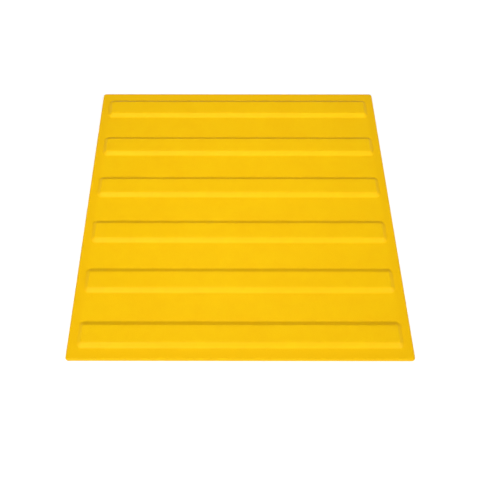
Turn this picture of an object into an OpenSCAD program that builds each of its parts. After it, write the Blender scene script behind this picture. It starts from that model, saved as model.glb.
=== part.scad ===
// Guiding tactile paving slab: a thin square sheet with long, flat-topped bars, moulded in one piece.
// The origin is the centre of the underside. +X runs along the bars, +Y across them, and +Z is up.

/* [Sheet] */
// Side of the square slab, seen from above
slab_side = 500; // [400:10:600]
// Thickness of the sheet between the bars
sheet_thickness = 4; // [3.5:0.5:10]
// Radius of the slab's four corners, seen from above
corner_radius = 5; // [4:0.5:12]
// Radius that rounds the sheet's top edge all the way round
rim_radius = 3; // [0.5:0.25:3.25]

/* [Bars] */
// Number of bars
bar_count = 6; // [3:1:8]
// Width of a bar at its foot
bar_foot_width = 40; // [30:1:50]
// Height of a bar above the sheet
bar_height = 5; // [3:0.5:7]
// How far a bar's sloping flank runs inwards from foot to crest, at its sides and at its ends
flank_run = 7; // [3:0.5:12]
// Distance from the slab's edge to the foot of the nearest bar, across the bars
side_margin = 17.5; // [14:0.5:30]
// Distance from the slab's edge to the foot of each bar's end
end_margin = 13.5; // [8:0.5:40]
// Radius that rounds a bar's top edges
crest_radius = 4; // [0.5:0.25:5]
// Radius of the hollow where a bar's flank meets the sheet
foot_radius = 4; // [0.5:0.25:5]
// Radius of a bar's flat top at its four corners, seen from above
top_corner_radius = 0.5; // [0.25:0.25:2]

/* [Hidden] */
$fn = 64;

// Number of straight steps that draw each small rounding of a bar's section
rounding_steps = 5;
// Angle of the flanks above the sheet
flank_angle = atan2(bar_height, flank_run);
// Height of the bars' flat tops
crest_z = sheet_thickness + bar_height;
// Height inside the sheet at which the bars' roots end
root_z = sheet_thickness / 2;
// Length of flank and crest, or of flank and sheet, that each rounding takes up
crest_tangent = crest_radius * tan(flank_angle / 2);
foot_tangent = foot_radius * tan(flank_angle / 2);
// Radius of a bar's foot at its four corners, seen from above
foot_corner_radius = top_corner_radius + crest_tangent + flank_run;
// Distance between the centrelines of neighbouring bars
bar_pitch = (slab_side - 2 * side_margin - bar_foot_width) / (bar_count - 1);
// Distance from the centre of the slab to the foot of each bar's end
bar_half_length = slab_side / 2 - end_margin;

// Points along part of a circle, from one angle to another.
function arc(centre, radius, from, to) =
    [for (i = [0 : rounding_steps])
        let (angle = from + (to - from) * i / rounding_steps) centre + radius * [cos(angle), sin(angle)]];

// Points of a bar's section from the edge of its flat top down to its root, on the +x side: round the
// crest, down the flank, round the hollow at the foot and into the sheet.
function flank(half_width) = concat(
    arc([half_width - flank_run - crest_tangent, crest_z - crest_radius], crest_radius, 90, 90 - flank_angle),
    arc([half_width + foot_tangent, sheet_thickness + foot_radius], foot_radius, 270 - flank_angle, 270),
    [[half_width + foot_tangent, root_z]]
);

// A bar's whole section, from foot to foot, as a solid of the given length along the x axis.
module straight_bar(half_width, length) {
    right = flank(half_width);
    left = [for (i = [len(right) - 1 : -1 : 0]) [-right[i][0], right[i][1]]];
    rotate([90, 0, 90]) linear_extrude(height = length, center = true) polygon(concat(left, right));
}

// A round mound with the same flank: one of a bar's corners, and more that lies inside the bar.
module bar_corner() {
    rotate_extrude() polygon(concat([[0, root_z], [0, crest_z]], flank(foot_corner_radius)));
}

// One bar with a flat top and an even flank all round, whose corners are round when seen from above.
module bar() {
    corner_x = bar_half_length - foot_corner_radius;
    corner_y = bar_foot_width / 2 - foot_corner_radius;
    straight_bar(bar_foot_width / 2, 2 * corner_x);
    rotate([0, 0, 90]) straight_bar(bar_half_length, 2 * corner_y);
    for (x = [-corner_x, corner_x], y = [-corner_y, corner_y]) translate([x, y, 0]) bar_corner();
}

// Section of the sheet's edge, from x = 0 out to the given reach, with its top edge rounded.
module edge_section(reach) {
    difference() {
        square([reach, sheet_thickness]);
        difference() {
            translate([reach - rim_radius, sheet_thickness - rim_radius]) square(rim_radius);
            translate([reach - rim_radius, sheet_thickness - rim_radius]) circle(rim_radius);
        }
    }
}

// The sheet on its own: a square plate with round corners and a rounded top edge.
module sheet() {
    half = slab_side / 2;
    straight = slab_side - 2 * corner_radius;
    for (turn = [0 : 90 : 270]) rotate([0, 0, turn]) {
        rotate([90, 0, 0]) linear_extrude(height = straight, center = true) edge_section(half);
        translate([half - corner_radius, half - corner_radius, 0]) rotate_extrude() edge_section(corner_radius);
    }
}

module slab() {
    color("gold") union() {
        sheet();
        for (i = [0 : bar_count - 1]) translate([0, (i - (bar_count - 1) / 2) * bar_pitch, 0]) bar();
    }
}

slab();
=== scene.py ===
# Guiding tactile paving slab: its finished surface and material, with a floor, soft light and the camera.
import math

import bpy
import numpy as np
from mathutils import Matrix, Vector


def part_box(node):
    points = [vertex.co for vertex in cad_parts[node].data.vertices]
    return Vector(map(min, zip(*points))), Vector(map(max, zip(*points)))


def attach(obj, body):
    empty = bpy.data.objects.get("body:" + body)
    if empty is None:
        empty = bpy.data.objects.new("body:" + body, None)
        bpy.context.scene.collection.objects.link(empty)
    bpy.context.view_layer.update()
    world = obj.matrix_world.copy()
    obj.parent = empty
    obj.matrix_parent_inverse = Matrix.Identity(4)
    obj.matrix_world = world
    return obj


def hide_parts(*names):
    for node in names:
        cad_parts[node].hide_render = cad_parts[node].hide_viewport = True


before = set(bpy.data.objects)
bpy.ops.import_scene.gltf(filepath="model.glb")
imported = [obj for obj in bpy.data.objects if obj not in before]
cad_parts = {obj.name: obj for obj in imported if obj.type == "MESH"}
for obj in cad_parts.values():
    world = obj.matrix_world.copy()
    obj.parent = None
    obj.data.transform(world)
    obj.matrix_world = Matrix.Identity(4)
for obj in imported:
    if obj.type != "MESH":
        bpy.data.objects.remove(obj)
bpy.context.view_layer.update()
print("frame loaded:", list(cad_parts))


# The camera: where it stands, how it is turned, its lens and how far the image is shifted.
cameraValues = {
    "place": (-0.0170, -0.4328, 0.7314),
    "degreesDown": 62.707,  # of the line of sight, below the horizon
    "degreesRight": -0.096,  # of the line of sight, seen from above
    "degreesRolled": -0.033,
    "lens": 38.54,  # mm
    "sensorWidth": 36,  # mm
    "shiftRight": 0.02504,  # share of the image's width
}


def makeCamera(values):
    # The camera's axes: forward from the two angles, right level with the floor, up at right angles
    # to both, and then right and up turned by the roll.
    names = ("degreesDown", "degreesRight", "degreesRolled")
    down, right, roll = (math.radians(values[name]) for name in names)
    level = math.cos(down)
    forwardAxis = Vector((level * math.sin(right), level * math.cos(right), -math.sin(down)))
    levelAxis = Vector((math.cos(right), -math.sin(right), 0))
    upAxis = levelAxis.cross(forwardAxis)
    rightAxis = math.cos(roll) * levelAxis + math.sin(roll) * upAxis
    upAxis = rightAxis.cross(forwardAxis)
    data = bpy.data.cameras.new("camera")
    data.sensor_width = values["sensorWidth"]
    data.lens = values["lens"]
    data.shift_x = values["shiftRight"]
    camera = bpy.data.objects.new("camera", data)
    turned = Matrix((rightAxis, upAxis, -forwardAxis)).transposed().to_4x4()
    camera.matrix_world = Matrix.Translation(values["place"]) @ turned
    bpy.context.scene.collection.objects.link(camera)
    bpy.context.scene.camera = camera


makeCamera(cameraValues)
print("camera placed")


class Strand:
    # A socket's value on its way through a material. Python's operators add the Math nodes.
    def __init__(self, tree, socket=None):
        self.tree = tree
        self.socket = socket

    def node(self, kind, settings, sockets, output=0):
        # Adds any node: its type, its settings, and the values or strands that feed its sockets.
        made = self.tree.nodes.new(kind)
        for name, value in settings.items():
            setattr(made, name, value)
        for name, value in sockets.items():
            if isinstance(value, Strand):
                self.tree.links.new(value.socket, made.inputs[name])
            else:
                made.inputs[name].default_value = value
        return Strand(self.tree, made.outputs[output])

    def maths(self, operation, other):
        return self.node("ShaderNodeMath", {"operation": operation}, {0: self, 1: other})

    def __add__(self, other):
        return self.maths("ADD", other)

    def __sub__(self, other):
        return self.maths("SUBTRACT", other)

    def __rsub__(self, other):
        return self * -1 + other

    def __mul__(self, other):
        return self.maths("MULTIPLY", other)

    def __lt__(self, other):
        return self.maths("LESS_THAN", other)

    __radd__ = __add__
    __rmul__ = __mul__

    def noise(self, place, size, detail):
        # Even cloudy noise about zero, from -0.5 to 0.5, whose patches are about size metres across.
        sockets = {"Vector": place, "Scale": 1 / size, "Detail": detail}
        return self.node("ShaderNodeTexNoise", {}, sockets) - 0.5

    def mixed(self, factor, first, second):
        # The first colour where the factor is 0, the second where it is 1, and a blend between. The Mix
        # node's colours are its sockets 6 and 7, and their blend is its output 2.
        colours = {"Factor": factor, 6: first, 7: second}
        return self.node("ShaderNodeMix", {"data_type": "RGBA"}, colours, 2)


# The slab's sizes in metres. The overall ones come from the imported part.
slabLow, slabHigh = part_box("slab")
slabValues = {
    "side": slabHigh[0] - slabLow[0],
    "sheet": 0.004,
    "cornerRadius": 0.005,
    "rimRadius": 0.003,
    "arris": 0.0003,  # tiny radius along the underside's edge
    "barCount": 6,
    "barPitch": 0.085,
    "barWidth": 0.040,  # at the foot
    "flankRun": 0.007,
    "endMargin": 0.0135,
    "crestRadius": 0.004,
    "footRadius": 0.004,
    "cornerFlat": 0.0005,  # radius of a bar's flat top at its corners, seen from above
    "roundSteps": 6,  # rows of faces round each small radius
    "slopeSteps": 9,  # rows of faces on a flank's straight slope
    "cornerSteps": 4,  # rows of faces from a corner's centre out to the rim
    "wallSteps": 3,  # rows of faces on the upright edge
    "arrisSteps": 3,  # rows of faces round the arris
    "flatStep": 0.020,  # longest cell on the flat faces
    "guard": 0.0004,  # width of the flat row beside each rounding, so that flat faces are shaded flat
}
slabValues["barHeight"] = slabHigh[2] - slabLow[2] - slabValues["sheet"]


def barMiddles(sizes):
    # Places of the bars' centrelines along y, evenly spaced about the middle of the slab.
    return (np.arange(sizes["barCount"]) - (sizes["barCount"] - 1) / 2) * sizes["barPitch"]


def flankShape(sizes):
    # Angle of a flank, and how far its roundings reach from the crest and from the foot.
    angle = math.atan2(sizes["barHeight"], sizes["flankRun"])
    return angle, sizes["crestRadius"] * math.tan(angle / 2), sizes["footRadius"] * math.tan(angle / 2)


def barProfile(sizes, inward):
    # Height of a bar's surface above the sheet against the distance inward from its foot line:
    # nothing, then a hollow arc, then a straight slope, then a round arc, then the flat top.
    angle, crestReach, footReach = flankShape(sizes)
    fromFoot = np.clip(inward + footReach, 0, sizes["footRadius"] * math.sin(angle))
    hollow = sizes["footRadius"] - np.sqrt(sizes["footRadius"] ** 2 - fromFoot**2)
    toTop = np.clip(sizes["flankRun"] + crestReach - inward, 0, sizes["crestRadius"] * math.sin(angle))
    crest = sizes["barHeight"] - sizes["crestRadius"] + np.sqrt(sizes["crestRadius"] ** 2 - toTop**2)
    slope = inward * math.tan(angle)
    onSlope = inward > footReach * math.cos(angle)
    onCrest = inward > sizes["flankRun"] - crestReach * math.cos(angle)
    return np.where(onCrest, crest, np.where(onSlope, slope, hollow))


def inwardDistance(sizes, toSide, toEnd):
    # Distance inward from a bar's foot line, which is a rectangle with round corners. In a corner it
    # is the corner's radius less the distance from the corner's centre.
    radius = sizes["flankRun"] + flankShape(sizes)[1] + sizes["cornerFlat"]
    fromCentre = np.hypot(np.maximum(radius - toSide, 0), np.maximum(radius - toEnd, 0))
    return radius - fromCentre + np.maximum(np.minimum(toSide, toEnd) - radius, 0)


def raisedHeight(sizes, x, y):
    # Height above the sheet at x and y: the bar profile of the distance inward from the foot line of
    # the nearest bar.
    middles = barMiddles(sizes)
    nearest = middles[np.abs(y[..., None] - middles).argmin(axis=-1)]
    toSide = sizes["barWidth"] / 2 - np.abs(y - nearest)
    toEnd = sizes["side"] / 2 - sizes["endMargin"] - np.abs(x)
    return barProfile(sizes, inwardDistance(sizes, toSide, toEnd))


def flankLines(sizes):
    # Distances inward from a foot line at which the surface needs a line of vertices: even steps over
    # the hollow, the slope and the crest, and a guard's width past them on either side.
    angle, crestReach, footReach = flankShape(sizes)
    footEnd = footReach * math.cos(angle)
    crestStart = sizes["flankRun"] - crestReach * math.cos(angle)
    crestEnd = sizes["flankRun"] + crestReach
    return np.concatenate([
        [-footReach - sizes["guard"]],
        np.linspace(-footReach, footEnd, sizes["roundSteps"] + 1),
        np.linspace(footEnd, crestStart, sizes["slopeSteps"] + 1)[1:-1],
        np.linspace(crestStart, crestEnd, sizes["roundSteps"] + 1),
        [crestEnd + sizes["guard"]],
    ])


def edgeRings(sizes):
    # The sheet's edge from its flat top down to the underside: a quarter circle at the rim, the upright
    # wall, and a quarter circle at the arris. Gives how far in from the outline each ring lies, its
    # height, and its place in the grid, where the rings are equal small steps that run on outwards.
    rim = np.linspace(0, math.pi / 2, sizes["roundSteps"] + 1)
    wall = np.linspace(sizes["sheet"] - sizes["rimRadius"], sizes["arris"], sizes["wallSteps"] + 1)[1:-1]
    foot = np.linspace(0, math.pi / 2, sizes["arrisSteps"] + 1)
    inset = np.concatenate([
        sizes["rimRadius"] * (1 - np.sin(rim)),
        0 * wall,
        sizes["arris"] * (1 - np.cos(foot)),
    ])
    height = np.concatenate([
        sizes["sheet"] - sizes["rimRadius"] * (1 - np.cos(rim)),
        wall,
        sizes["arris"] * (1 - np.sin(foot)),
    ])
    flat = sizes["side"] / 2 - sizes["rimRadius"]
    station = flat + sizes["rimRadius"] * np.arange(len(inset)) / sizes["roundSteps"]
    return inset, height, station


def slabStations(sizes, footLines):
    # Places of the grid's lines from one edge of the slab to the other: the rings of the edge, a few
    # lines in the flat border, the lines about each foot line, and even steps between.
    half = sizes["side"] / 2
    rings = edgeRings(sizes)[2]
    corner = np.linspace(half - sizes["cornerRadius"], rings[0], sizes["cornerSteps"] + 1)
    fixed = np.sort(np.concatenate([footLines, corner, rings[1:], -corner, -rings[1:]]))
    between = [
        np.linspace(low, low + gap, int(math.ceil(gap / sizes["flatStep"])) + 1)[:-1]
        for low, gap in zip(fixed[:-1], np.diff(fixed))
    ]
    return np.concatenate(between + [fixed[-1:]])


def slabGrid(sizes):
    # The grid's two distances, with lines along x and y about the foot line of every bar.
    lines = flankLines(sizes)
    barHalf = sizes["side"] / 2 - sizes["endMargin"]
    aboutEnds = np.concatenate([barHalf - lines, lines - barHalf])
    aboutSides = np.concatenate([
        np.concatenate([middle + sizes["barWidth"] / 2 - lines, middle - sizes["barWidth"] / 2 + lines])
        for middle in barMiddles(sizes)
    ])
    return np.meshgrid(slabStations(sizes, aboutEnds), slabStations(sizes, aboutSides), indexing="ij")


def pastBorder(sizes, grid):
    # How far each grid distance lies past the lines through the corners' centres.
    return np.abs(grid) - (sizes["side"] / 2 - sizes["cornerRadius"])


def outlinePlaces(sizes, gridX, gridY, radius):
    # Plan places of the grid's points: as they are inside, and moved out to the given radius past the
    # border on a side. In a corner square the point lies on an arc about the corner's centre, at that
    # radius and at an angle that grows with the smaller distance over the larger.
    border = sizes["side"] / 2 - sizes["cornerRadius"]
    pastX, pastY = pastBorder(sizes, gridX), pastBorder(sizes, gridY)
    larger = np.maximum(np.maximum(pastX, pastY), np.finfo(float).eps)
    turn = np.clip(np.minimum(pastX, pastY) / larger, 0, 1) * math.pi / 4
    inCorner = (pastX > 0) & (pastY > 0)
    along = np.where(inCorner, radius * np.cos(turn), radius)
    across = radius * np.sin(turn)
    x = np.where(pastX >= pastY, border + along, border + across)
    y = np.where(pastX >= pastY, border + across, border + along)
    x = np.where(pastX > 0, x, np.abs(gridX))
    y = np.where(pastY > 0, y, np.abs(gridY))
    return np.sign(gridX) * x, np.sign(gridY) * y


def quads(index):
    # The four corners of every cell of a grid of vertex numbers, counter-clockwise seen from above.
    corners = [index[:-1, :-1], index[1:, :-1], index[1:, 1:], index[:-1, 1:]]
    return np.stack(corners, axis=-1).reshape(-1, 4)


def slabSurface(sizes):
    # The slab as one closed sheet of quads. A grid of two distances x and y is laid over the top and on
    # over the edge, and in the corner squares its square rings turn into arcs. The height is the sheet
    # plus the bars' raised height, and at the edge it is the ring's own height. The underside is the
    # same grid laid flat, joined to the top's outermost ring.
    gridX, gridY = slabGrid(sizes)
    reach = np.maximum(pastBorder(sizes, gridX), pastBorder(sizes, gridY))
    inset, ringHeight, station = edgeRings(sizes)
    ringReach = pastBorder(sizes, station)
    onEdge = reach > sizes["cornerRadius"] - sizes["rimRadius"]
    radius = np.where(onEdge, sizes["cornerRadius"] - np.interp(reach, ringReach, inset), reach)
    underRadius = np.interp(reach, [0, ringReach[-1]], [0, sizes["cornerRadius"] - sizes["arris"]])
    raised = sizes["sheet"] + raisedHeight(sizes, gridX, gridY)
    height = np.where(onEdge, np.interp(reach, ringReach, ringHeight), raised)
    top = np.stack([*outlinePlaces(sizes, gridX, gridY, radius), height], axis=-1)
    under = np.stack([*outlinePlaces(sizes, gridX, gridY, underRadius), 0 * height], axis=-1)

    topIndex = np.arange(gridX.size).reshape(gridX.shape)
    inner = np.zeros(gridX.shape, bool)
    inner[1:-1, 1:-1] = True
    underIndex = topIndex.copy()
    underIndex[inner] = gridX.size + np.arange(inner.sum())
    points = np.concatenate([top.reshape(-1, 3), under[inner]])
    return points, np.concatenate([quads(topIndex), quads(underIndex)[:, ::-1]])


def makeMesh(name, points, faces, material):
    # A new object at the origin, whose smooth mesh has these points and quads.
    mesh = bpy.data.meshes.new(name)
    mesh.vertices.add(len(points))
    mesh.vertices.foreach_set("co", points.astype(np.float32).ravel())
    mesh.loops.add(faces.size)
    mesh.loops.foreach_set("vertex_index", faces.astype(np.int32).ravel())
    mesh.polygons.add(len(faces))
    mesh.polygons.foreach_set("loop_start", np.arange(len(faces), dtype=np.int32) * faces.shape[1])
    mesh.polygons.foreach_set("use_smooth", np.ones(len(faces), bool))
    mesh.update(calc_edges=True)
    mesh.validate()
    mesh.materials.append(material)
    piece = bpy.data.objects.new(name, mesh)
    bpy.context.scene.collection.objects.link(piece)
    return piece


# The moulded polymer: its close yellows, its noises and how rough it is.
polymerValues = {
    "lighterYellow": (0.966, 0.582, 0.0012, 1),
    "deeperYellow": (0.929, 0.518, 0.0006, 1),
    # the deeper yellow that the colour darkens to at the slab's outline
    "outlineDarkerYellow": (0.924, 0.525, 0.0007, 1),
    "underYellow": (0.860, 0.480, 0.0006, 1),
    "edgeStart": 0.231,  # "edgeStart": 0.231, # distance from the slab's middle at which the darkening towards the outline begins
    "edgeFull": 0.2395,  # distance at which it is complete
    "underHeight": 0.0002,  # height below which the surface counts as the underside
    # Each noise: metres across its patches, its number of finer layers, and how strongly it changes the
    # tone, the roughness and the height of the surface in metres.
    "noises": {
        "clouds": {"size": 0.055, "detail": 3, "tone": 1.0, "roughness": 0.10},
        "patches": {"size": 0.012, "detail": 2, "tone": 0.7},
        "specks": {"size": 0.0016, "detail": 2, "tone": 0.7},
        "grain": {"size": 0.0011, "detail": 2, "roughness": 0.08, "height": 0.00028},
        "roll": {"size": 0.020, "detail": 1, "height": 0.00004},
    },
    "roughness": 0.44,
    "roughnessBeneath": 0.2,  # extra, on the underside
    "specular": 0.12,
}


def polymerMaterial(values):
    # The tone between the two yellows is one half plus the noises, each times its strength for the tone.
    # Near the slab's outline, by the larger of |x| and |y|, the colour darkens to a deeper yellow,
    # and on the underside it is a duller one. Roughness and the bump's height add the noises likewise.
    material = bpy.data.materials.new("yellowPolymer")
    material.use_nodes = True
    tree = material.node_tree
    shader = tree.nodes["Principled BSDF"]
    shader.inputs["Specular IOR Level"].default_value = values["specular"]
    strand = Strand(tree)
    place = strand.node("ShaderNodeTexCoord", {}, {}, "Object")
    distances = strand.node("ShaderNodeVectorMath", {"operation": "ABSOLUTE"}, {0: place}, "Vector")
    whole = {"Vector": distances}
    x, y, height = (strand.node("ShaderNodeSeparateXYZ", {}, whole, axis) for axis in "XYZ")
    noises = {}
    for name, noise in values["noises"].items():
        noises[name] = strand.noise(place, noise["size"], noise["detail"])

    def total(effect):
        # Sum of the noises that have the effect, each times its strength.
        kinds = values["noises"].items()
        return sum(noises[name] * noise[effect] for name, noise in kinds if effect in noise)

    limits = {
        "Value": x.maths("MAXIMUM", y),
        "From Min": values["edgeStart"],
        "From Max": values["edgeFull"],
    }
    border = strand.node("ShaderNodeMapRange", {"interpolation_type": "SMOOTHSTEP"}, limits)
    beneath = height < values["underHeight"]
    face = strand.mixed(0.5 + total("tone"), values["lighterYellow"], values["deeperYellow"])
    # Towards the slab's outline the yellow darkens.
    above = strand.mixed(border, face, values["outlineDarkerYellow"])
    colour = strand.mixed(beneath, above, values["underYellow"])
    roughness = values["roughness"] + total("roughness") + values["roughnessBeneath"] * beneath
    bump = {"Strength": 1.0, "Distance": 1.0, "Height": total("height")}
    normal = strand.node("ShaderNodeBump", {}, bump)
    for name, found in (("Base Color", colour), ("Roughness", roughness), ("Normal", normal)):
        tree.links.new(found.socket, shader.inputs[name])
    return material


slabPoints, slabFaces = slabSurface(slabValues)
slab = makeMesh("pavingSlab", slabPoints, slabFaces, polymerMaterial(polymerValues))
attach(slab, "root")
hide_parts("slab")
print("slab made:", len(slabPoints), "points and", len(slabFaces), "quads")


# The pale floor.
floorValues = {
    "size": 30.0,
    "below": 0.0002,  # how far it lies below the slab's underside
    "colour": (0.80, 0.80, 0.80, 1),
    "roughness": 0.9,
    # Extra brightness that only the camera and reflections see: at the slab, how much more for each
    # square metre of squared distance from it, where the lamps fade, and the most that it may be.
    "lift": 0.33,
    "liftRise": 0.40,
    "liftMost": 0.845,
}


def backdropMask(strand):
    # 1 for the rays from the camera and for those that reflections and glass send on, else 0.
    rays = strand.node("ShaderNodeLightPath", {}, {})
    outputs = rays.socket.node.outputs
    seen = Strand(strand.tree, outputs["Is Camera Ray"]) + Strand(strand.tree, outputs["Is Glossy Ray"])
    return seen + Strand(strand.tree, outputs["Is Transmission Ray"])


def floorMaterial(values):
    # The lift is its value at the slab plus its rise times the squared distance from there, and never
    # more than its most. The glow goes from black to white with it, for the rays that see the backdrop.
    material = bpy.data.materials.new("paleFloor")
    material.use_nodes = True
    shader = material.node_tree.nodes["Principled BSDF"]
    shader.inputs["Base Color"].default_value = values["colour"]
    shader.inputs["Roughness"].default_value = values["roughness"]
    shader.inputs["Specular IOR Level"].default_value = 0
    shader.inputs["Emission Strength"].default_value = 1
    strand = Strand(material.node_tree)
    place = strand.node("ShaderNodeTexCoord", {}, {}, "Object")
    product = {"operation": "DOT_PRODUCT"}
    squared = strand.node("ShaderNodeVectorMath", product, {0: place, 1: place}, "Value")
    lift = (values["lift"] + values["liftRise"] * squared).maths("MINIMUM", values["liftMost"])
    glow = strand.mixed(lift * backdropMask(strand), (0, 0, 0, 1), (1, 1, 1, 1))
    material.node_tree.links.new(glow.socket, shader.inputs["Emission Color"])
    return material


def makeFloor(values):
    # A level square about the origin.
    corners = np.array([[-1, -1], [1, -1], [1, 1], [-1, 1]]) * values["size"] / 2
    points = np.column_stack([corners, np.full(len(corners), -values["below"])])
    makeMesh("floor", points, np.array([[0, 1, 2, 3]]), floorMaterial(values))


# The light of the studio.
lightValues = {
    "ambient": 0.218,  # strength of the even light from all round
    # Each lamp: degrees above the floor, degrees round from the near side towards +x, metres away, the
    # side of its square, its power in watts, and whether glossy faces mirror it.
    "lamps": {
        "frontLamp": {"raised": 46, "turned": -25, "away": 3, "size": 1.2, "power": 26.2, "glossy": True},
        "leftLamp": {"raised": 28, "turned": -50, "away": 3, "size": 1.5, "power": 23.6, "glossy": True},
        "rightLamp": {"raised": 28, "turned": 50, "away": 6, "size": 3, "power": 139.8, "glossy": True},
        "topLamp": {"raised": 86, "turned": 180, "away": 0.65, "size": 0.5, "power": 1.52, "glossy": False},
    },
}


def makeWorld(values):
    # Even light from all round. The camera and reflections see it as plain white.
    world = bpy.data.worlds.new("studio")
    world.use_nodes = True
    bpy.context.scene.world = world
    background = world.node_tree.nodes["Background"]
    background.inputs["Color"].default_value = (1, 1, 1, 1)
    mask = backdropMask(Strand(world.node_tree))
    strength = values["ambient"] * (1 - mask) + mask
    world.node_tree.links.new(strength.socket, background.inputs["Strength"])


def makeLamp(name, values):
    # A square soft light that faces the middle of the slab.
    data = bpy.data.lights.new(name, "AREA")
    data.size = values["size"]
    data.energy = values["power"]
    lamp = bpy.data.objects.new(name, data)
    raised, turned = math.radians(values["raised"]), math.radians(values["turned"])
    level = math.cos(raised)
    direction = Vector((level * math.sin(turned), -level * math.cos(turned), math.sin(raised)))
    lamp.location = values["away"] * direction
    lamp.rotation_mode = "QUATERNION"
    lamp.rotation_quaternion = (-direction).to_track_quat("-Z", "Y")
    lamp.visible_glossy = values["glossy"]
    bpy.context.scene.collection.objects.link(lamp)


makeFloor(floorValues)
makeWorld(lightValues)
for name, values in lightValues["lamps"].items():
    makeLamp(name, values)
bpy.context.scene.view_settings.view_transform = "Standard"
print("floor and light made")
